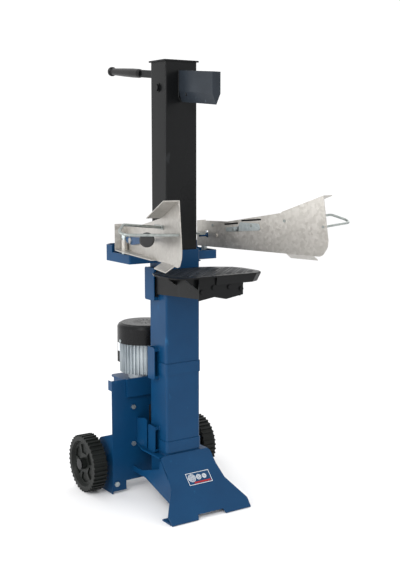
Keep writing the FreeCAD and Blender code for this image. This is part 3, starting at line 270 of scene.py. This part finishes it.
FINISH = {
    BLUE: ["column_tube", "arm_carrier", "upper_hooks", "middle_hooks", "lower_hooks",
           "front_foot_plate", "base_frame", "rear_panel", "valve_cover", "axle_cheeks",
           "oil_tank", "tank_lid", "left_lever", "right_lever"],
    BLACK: ["ram_tube", "ram_cap", "handle_neck", "table_plate", "table_support", "table_bolts",
            "rod_cross_bolt", "axle"],
    BLADE: ["wedge"],
    GALVANISED: ["left_arm", "right_arm"],
    ZINC: ["left_hand_guard", "right_hand_guard", "control_rod", "oil_pipes"],
    BOLT_ZINC: ["frame_bolts", "arm_posts"],
    STEEL: ["cylinder_barrel", "cylinder_ends", "drive_gear", "driven_gear", "motor_shaft",
            "motor_bearings"],
    SPRING_STEEL: ["spool_spring"],
    CHROME: ["piston_rod"],
    MOTOR_ALUMINIUM: ["motor_body", "motor_end_shields"],
    PUMP_ALUMINIUM: ["pump_body", "pump_cover", "bell_housing"],
    IRON: ["valve_block"],
    BLACK_ABS: ["fan_cover", "cooling_fan", "switch_box", "power_inlet", "oil_filler_plug",
                "handle_grip"],
    WHEEL_PLASTIC: ["left_wheel", "right_wheel"],
    NYLON: ["guide_liner", "ram_slider"],
    GREEN: ["start_button"],
    RED: ["stop_button"],
    GRIP: ["left_lever_grip", "right_lever_grip"],
    COPPER: ["stator"],
}


def finish_nodes():
    """Gives every CAD node its finish."""
    for material, names in FINISH.items():
        for name in names:
            node = NODES[name]
            if not node.material_slots:
                node.data.materials.append(material)
            for spot in node.material_slots:
                spot.material = material


# ------------------------------------------------------------------ modelling tools
def nothing_selected():
    """Leaves edit mode and deselects everything."""
    if bpy.context.object and bpy.context.object.mode != "OBJECT":
        bpy.ops.object.mode_set(mode="OBJECT")
    bpy.ops.object.select_all(action="DESELECT")


def take(thing):
    """Selects one piece alone."""
    nothing_selected()
    thing.select_set(True)
    bpy.context.view_layer.objects.active = thing


def apply_place(thing):
    """Puts a piece's place into its mesh."""
    take(thing)
    bpy.ops.object.transform_apply(location=True, rotation=True, scale=True)


def soften(thing, width, segments=2, angle=30):
    """Rounds a piece's edges with a bevel that is applied, and shades it smoothly."""
    take(thing)
    bevel = thing.modifiers.new("edges", "BEVEL")
    bevel.width, bevel.segments, bevel.limit_method = width, segments, "ANGLE"
    bevel.angle_limit = math.radians(angle)
    bpy.ops.object.modifier_apply(modifier=bevel.name)
    bpy.ops.object.shade_smooth_by_angle(angle=math.radians(35))


def joined(name, things, material, body):
    """Several pieces of one finish, joined, named and riding on a CAD body."""
    nothing_selected()
    for thing in things:
        thing.select_set(True)
    bpy.context.view_layer.objects.active = things[0]
    if len(things) > 1:
        bpy.ops.object.join()
    piece = bpy.context.object
    piece.name = name
    apply_place(piece)
    piece.data.materials.clear()
    piece.data.materials.append(material)
    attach(piece, body)
    return piece


def copies(thing, matrices):
    """Copies of a piece, each with its own mesh, carried to its place by a matrix."""
    made = []
    for matrix in matrices:
        copy = thing.copy()
        copy.data = thing.data.copy()
        copy.matrix_world = matrix @ thing.matrix_world
        bpy.context.collection.objects.link(copy)
        made.append(copy)
    bpy.data.objects.remove(thing)
    return made


def turned(angle, axis):
    return Matrix.Rotation(math.radians(angle), 4, axis)


def moved(x, y, z):
    return Matrix.Translation((x * MM, y * MM, z * MM))


def block(x, y, z, long, deep, high, place=Matrix()):
    """A box with its middle at a place, in millimetres, before it is shaped."""
    nothing_selected()
    bpy.ops.mesh.primitive_cube_add(size=1)
    box = bpy.context.object
    box.scale = (long * MM, deep * MM, high * MM)
    box.location = (x * MM, y * MM, z * MM)
    apply_place(box)
    box.matrix_world = place
    return box


def trim(thing, cuts):
    """Cuts a box's corners away. Each cut is a point on the plane and the way that goes."""
    place = thing.matrix_world.copy()
    thing.matrix_world = Matrix()
    take(thing)
    bpy.ops.object.mode_set(mode="EDIT")
    for point, way in cuts:
        bpy.ops.mesh.select_all(action="SELECT")
        bpy.ops.mesh.bisect(plane_co=[value * MM for value in point], plane_no=way,
                            use_fill=True, clear_outer=True)
    bpy.ops.object.mode_set(mode="OBJECT")
    thing.matrix_world = place
    return thing


def drum(radius, tall, place):
    """A round boss with its foot at a place, before its rim is rounded."""
    nothing_selected()
    bpy.ops.mesh.primitive_cylinder_add(vertices=16, radius=radius * MM, depth=tall * MM,
                                        location=(0, 0, tall * MM / 2))
    boss = bpy.context.object
    apply_place(boss)
    boss.matrix_world = place
    return boss


def ring(radius, wire, place):
    """A round wire ring about a place's upright axis."""
    nothing_selected()
    bpy.ops.mesh.primitive_torus_add(major_radius=radius * MM, minor_radius=wire * MM,
                                     major_segments=32, minor_segments=8)
    band = bpy.context.object
    band.matrix_world = place
    return band


# ------------------------------------------------------------------ places on the machine
# Millimetres. Depths are measured from the column's axis.
BACK = 19.2                         # the column's axis, behind the origin
COLUMN_X, COLUMN_Y = 66, 54.5       # half the column's width and depth
RAM_Y, ROOT_X = 47, 11              # half the ram's depth, half the wedge root's width
DECK_TOP, CARRIER_FOOT = 170, 826
HOOKS = ((695, 110), (425, 110), (170.4, 92))       # foot and height of each pair of pockets
HOOK_FRONT = -7
TABLE_TOP = 805
ARM_X, ARM_Y, ARM_TURN = 140, 75, 13.16             # each arm's inner rear corner, and its turn
FOOT_FRONT, FOOT_LEAN, FOOT_SKIN = 229, 45.08, 5    # the sloping plate's edge, lean, thickness
SIDES = ((-1, "left"), (1, "right"))

SLOPE = moved(0, BACK - FOOT_FRONT, 0) @ turned(FOOT_LEAN, "X")


def arm_place(side):
    """Carries an arm's pieces, drawn straight ahead, to where the arm stands."""
    return moved(side * ARM_X, ARM_Y + BACK, 0) @ turned(side * ARM_TURN, "Z")


def spot_on_arm(side, forward, outer, height):
    """A place given along an arm and outward from its web."""
    turn = math.radians(ARM_TURN)
    x = ARM_X + forward * math.sin(turn) + outer * math.cos(turn)
    y = ARM_Y - forward * math.cos(turn) + outer * math.sin(turn)
    return Vector((side * x, y + BACK, height))


# ------------------------------------------------------------------ badge
def make_badge():
    """A plain plate on the sloping foot: a pale frame, log ends seen from above, a band."""
    middle_x, middle_y, skin = 10, 140, FOOT_SKIN
    wide, tall = 94, 46
    plate = block(middle_x, middle_y, skin + 0.4, wide, tall, 0.8, SLOPE)
    soften(plate, 0.3 * MM)
    joined("badge_plate", [plate], BLUE, "frame")
    bars = [block(middle_x, middle_y + y * 21, skin + 1, 92, 1.6, 0.6, SLOPE) for y in (-1, 1)]
    bars += [block(middle_x + x * 45, middle_y, skin + 1, 1.6, 40, 0.6, SLOPE) for x in (-1, 1)]
    for bar in bars:
        soften(bar, 0.2 * MM, 1)
    rings = []
    log_ends = ((-27, (3, 6.5, 10, 13.5)), (0, (3, 6, 9)), (22, (2.5, 5, 7.5)))
    for spot, radii in log_ends:
        place = SLOPE @ moved(middle_x + spot, middle_y + 3, skin + 0.9)
        rings += [ring(radius, 0.8, place) for radius in radii]
    joined("badge_frame_and_log_ends", bars + rings, PALE_PRINT, "frame")
    band = trim(block(middle_x + 8, middle_y - 15, skin + 1, 70, 6, 0.6, SLOPE),
                [((middle_x - 24, middle_y - 15, 0), (-0.9, 0.45, 0)),
                 ((middle_x + 40, middle_y - 15, 0), (0.9, -0.45, 0))])
    soften(band, 0.2 * MM, 1)
    joined("badge_band", [band], RED_PRINT, "frame")


# ------------------------------------------------------------------ table tread
def inside_table(x, y):
    """Is a place well inside the table's outline?"""
    reach = abs(x)
    if y < -270 or y > -70 or reach > 158:
        return False
    if reach > 100 and y > -128:
        return False
    return reach - 118 < (y + 272) * 0.9


def make_tread():
    """Raised lugs on the chequer plate, 17 mm long and turned one way and the other."""
    lug = block(0, 0, 0.5, 17, 4.4, 1.4)
    soften(lug, 1.1 * MM, 2)
    places, pitch = [], 21
    for row in range(-13, 14):
        for column in range(-9, 10):
            x, y = column * pitch, -170 + row * pitch
            if inside_table(x, y):
                angle = 45 if (row + column) % 2 else -45
                places.append(moved(x, y + BACK, TABLE_TOP) @ turned(angle, "Z"))
    joined("chequer_plate_lugs", copies(lug, places), TREAD, "table")


# ------------------------------------------------------------------ welds
def weld(name, runs, radius, material, body):
    """Beads of weld laid along straight runs, as a row of overlapping ripples."""
    nothing_selected()
    bpy.ops.mesh.primitive_uv_sphere_add(segments=8, ring_count=6, radius=1)
    ripple = bpy.context.object
    ripple.scale = (radius * MM, radius * MM, radius * MM)
    apply_place(ripple)
    take(ripple)
    bpy.ops.object.shade_smooth()
    places = []
    for start, end in runs:
        start, end = Vector(start), Vector(end)
        count = int((end - start).length / (radius * 0.75))
        for step in range(count + 1):
            spot = start.lerp(end, step / count)
            places.append(moved(*spot))
    joined(name, copies(ripple, places), material, body)


def make_welds():
    """Beads where the column meets the deck, the pockets and the carrier, and on the wedge."""
    front, hook_y = BACK - COLUMN_Y, BACK + HOOK_FRONT
    runs = [((-COLUMN_X, front, DECK_TOP), (COLUMN_X, front, DECK_TOP))]
    for side in (-1, 1):
        x, carrier_x = side * COLUMN_X, side * (COLUMN_X + 0.5)
        runs.append(((x, front, DECK_TOP), (x, BACK + COLUMN_Y, DECK_TOP)))
        for low, tall in HOOKS:
            top = low + tall
            runs.append(((x, hook_y, low + 2), (x, hook_y, low + 12)))
            runs.append(((x, hook_y, top - 12), (x, hook_y, top - 2)))
        runs.append(((carrier_x, front, CARRIER_FOOT), (carrier_x, BACK, CARRIER_FOOT)))
    weld("column_welds", runs, 2.6, WELD, "frame")

    root_y, blade_y = BACK - RAM_Y, BACK - 92
    shoulder, tip = 1360, 1348
    runs = [((side * ROOT_X, root_y, shoulder), (side * ROOT_X, root_y, 1446)) for side in (-1, 1)]
    runs += [((side * ROOT_X, root_y, shoulder), (0, root_y, tip)) for side in (-1, 1)]
    near_x = ROOT_X + 0.5
    runs += [((side * near_x, blade_y, 1366), (side * near_x, blade_y, 1442)) for side in (-1, 1)]
    weld("wedge_welds", runs, 2.8, BLACK, "ram")


# ------------------------------------------------------------------ arms
# Each groove's two ends, along the arm and up. Each bracket plate's middle, length and height,
# and the cuts that give it its outline.
GROOVES = (((-127, 942.5), (-190, 949.5)), ((-203, 958.5), (-290, 966.5)))
BRACKET = (((-236, 936, 108, 40), (((-236, 926.2), (-0.083, -0.9965)), ((-244, 953.2), (-0.02, 1)),
                                   ((-286, 945), (-0.96, 0.3)), ((-286, 934), (-0.77, -0.64)),
                                   ((-193, 941), (0.81, 0.59)))),
           ((-167, 928, 57.5, 26), (((-167, 920.6), (-0.083, -0.9965)),
                                    ((-167, 936), (0.11, 0.994)))))


def make_arm_details():
    """Black strips in the grooves of each arm's inner face, as painted shade for the shadow inside
    the grooves, and the guard's zinc bracket.
    """
    for side, name in SIDES:
        place, body = arm_place(side), "arm_" + name
        # Thin black sheets laid in the grooves are painted shade: they stand for the shadow inside
        # each groove.
        shade_strips = []
        for (y0, z0), (y1, z1) in GROOVES:
            run = math.hypot(y1 - y0, z1 - z0)
            lean = math.degrees(math.atan2(z1 - z0, y0 - y1))
            spot = moved(side * 1.2, (y0 + y1) / 2, (z0 + z1) / 2) @ turned(-lean, "X")
            shade_strip = block(0, 0, 0, 0.5, run - 2, 5.4, place @ spot)
            soften(shade_strip, 0.15 * MM, 1)
            shade_strips.append(shade_strip)
        joined(name + "_arm_groove_shade_strips", shade_strips, BLACK, body)

        plates = []
        for (y, z, long, high), cuts in BRACKET:
            plate = block(side * -2.35, y, z, 0.7, long, high, place)
            trim(plate, [((0, *point), (0, *way)) for point, way in cuts])
            soften(plate, 0.2 * MM, 1)
            plates.append(plate)
        joined(name + "_guard_bracket", plates, BOLT_ZINC, body)


def make_grip_ribs():
    """Moulded ribs round each lever's grip, 8.6 mm apart, wider towards its end."""
    for side, name in SIDES:
        ahead = (spot_on_arm(side, 470, 75, 939) - spot_on_arm(side, 350, 38, 927)).normalized()
        start = spot_on_arm(side, 288, 19, 920.8) + ahead * 72.5
        facing = ahead.to_track_quat("Z", "Y").to_matrix().to_4x4()
        ribs = []
        for step in range(11):
            run = 12 + step * 8.6
            radius = 19.2 + (run - 4) * 0.0095
            ribs.append(ring(radius, 1.1, moved(*(start + ahead * run)) @ facing))
        joined(name + "_grip_ribs", ribs, GRIP, "lever_" + name)


# ------------------------------------------------------------------ rear details
def make_rear_details():
    """A blank rating plate on the side of the switch box, with its four rivets."""
    low, high = (Vector(corner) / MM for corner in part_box("switch_box"))
    middle = (low + high) / 2
    plate_z = middle.z + 14
    plate = block(low.x - 0.4, middle.y, plate_z, 0.8, 30, 42)
    soften(plate, 0.25 * MM, 2)
    joined("rating_plate", [plate], PALE_PRINT, "frame")
    rivets = []
    for y in (-1, 1):
        for z in (-1, 1):
            place = moved(low.x - 0.7, middle.y + y * 12.4, plate_z + z * 18.4)
            rivet = drum(1.5, 0.9, place @ turned(-90, "Y"))
            soften(rivet, 0.4 * MM, 2)
            rivets.append(rivet)
    joined("rating_plate_rivets", rivets, BOLT_ZINC, "frame")


# ------------------------------------------------------------------ scene: camera, light, floor
def make_camera():
    data = bpy.data.cameras.new("camera")
    camera = bpy.data.objects.new("camera", data)
    bpy.context.collection.objects.link(camera)
    camera.location = (-1.6629, -2.6439, 1.1875)
    pitch, yaw = math.radians(8.06), math.radians(33.55)
    camera.rotation_euler = (math.pi / 2 - pitch, 0, -yaw)
    data.lens = 59.4
    data.sensor_width = 36
    bpy.context.scene.camera = camera
    bpy.context.scene.view_settings.view_transform = "Standard"


def area_light(name, spot, target, size, power):
    """A round soft light turned towards a target."""
    data = bpy.data.lights.new(name, "AREA")
    data.shape, data.size, data.energy = "DISK", size, power
    lamp = bpy.data.objects.new(name, data)
    bpy.context.collection.objects.link(lamp)
    lamp.location = spot
    lamp.rotation_euler = (Vector(target) - Vector(spot)).to_track_quat("-Z", "Y").to_euler()


def make_studio():
    nothing_selected()
    bpy.ops.mesh.primitive_plane_add(size=24, location=(0, 0, -0.0005))
    floor = bpy.context.object
    floor.name = "floor"
    material, tree, surface, place = new_material("pale_floor")
    haze = speckle(tree, place, 0.6, 3)
    set_surface(tree, surface, Base_Color=mixed(tree, haze, hex_colour("#FAFAFA"),
                                                hex_colour("#F7F7F8")), Roughness=0.75)
    floor.data.materials.append(material)
    world = bpy.data.worlds.new("studio")
    world.use_nodes = True
    world.node_tree.nodes["Background"].inputs["Color"].default_value = (1, 1, 1, 1)
    world.node_tree.nodes["Background"].inputs["Strength"].default_value = 1.08
    bpy.context.scene.world = world
    middle = (0, -0.05, 0.75)
    area_light("key", (-2.6, -2.4, 3.0), middle, 1.6, 60)
    area_light("fill", (-3.4, 0.2, 1.5), middle, 1.2, 34)
    area_light("rim", (2.8, 1.6, 2.6), middle, 1.8, 20)


finish_nodes()
make_badge()
make_tread()
make_welds()
make_arm_details()
make_grip_ribs()
make_rear_details()
make_camera()
make_studio()
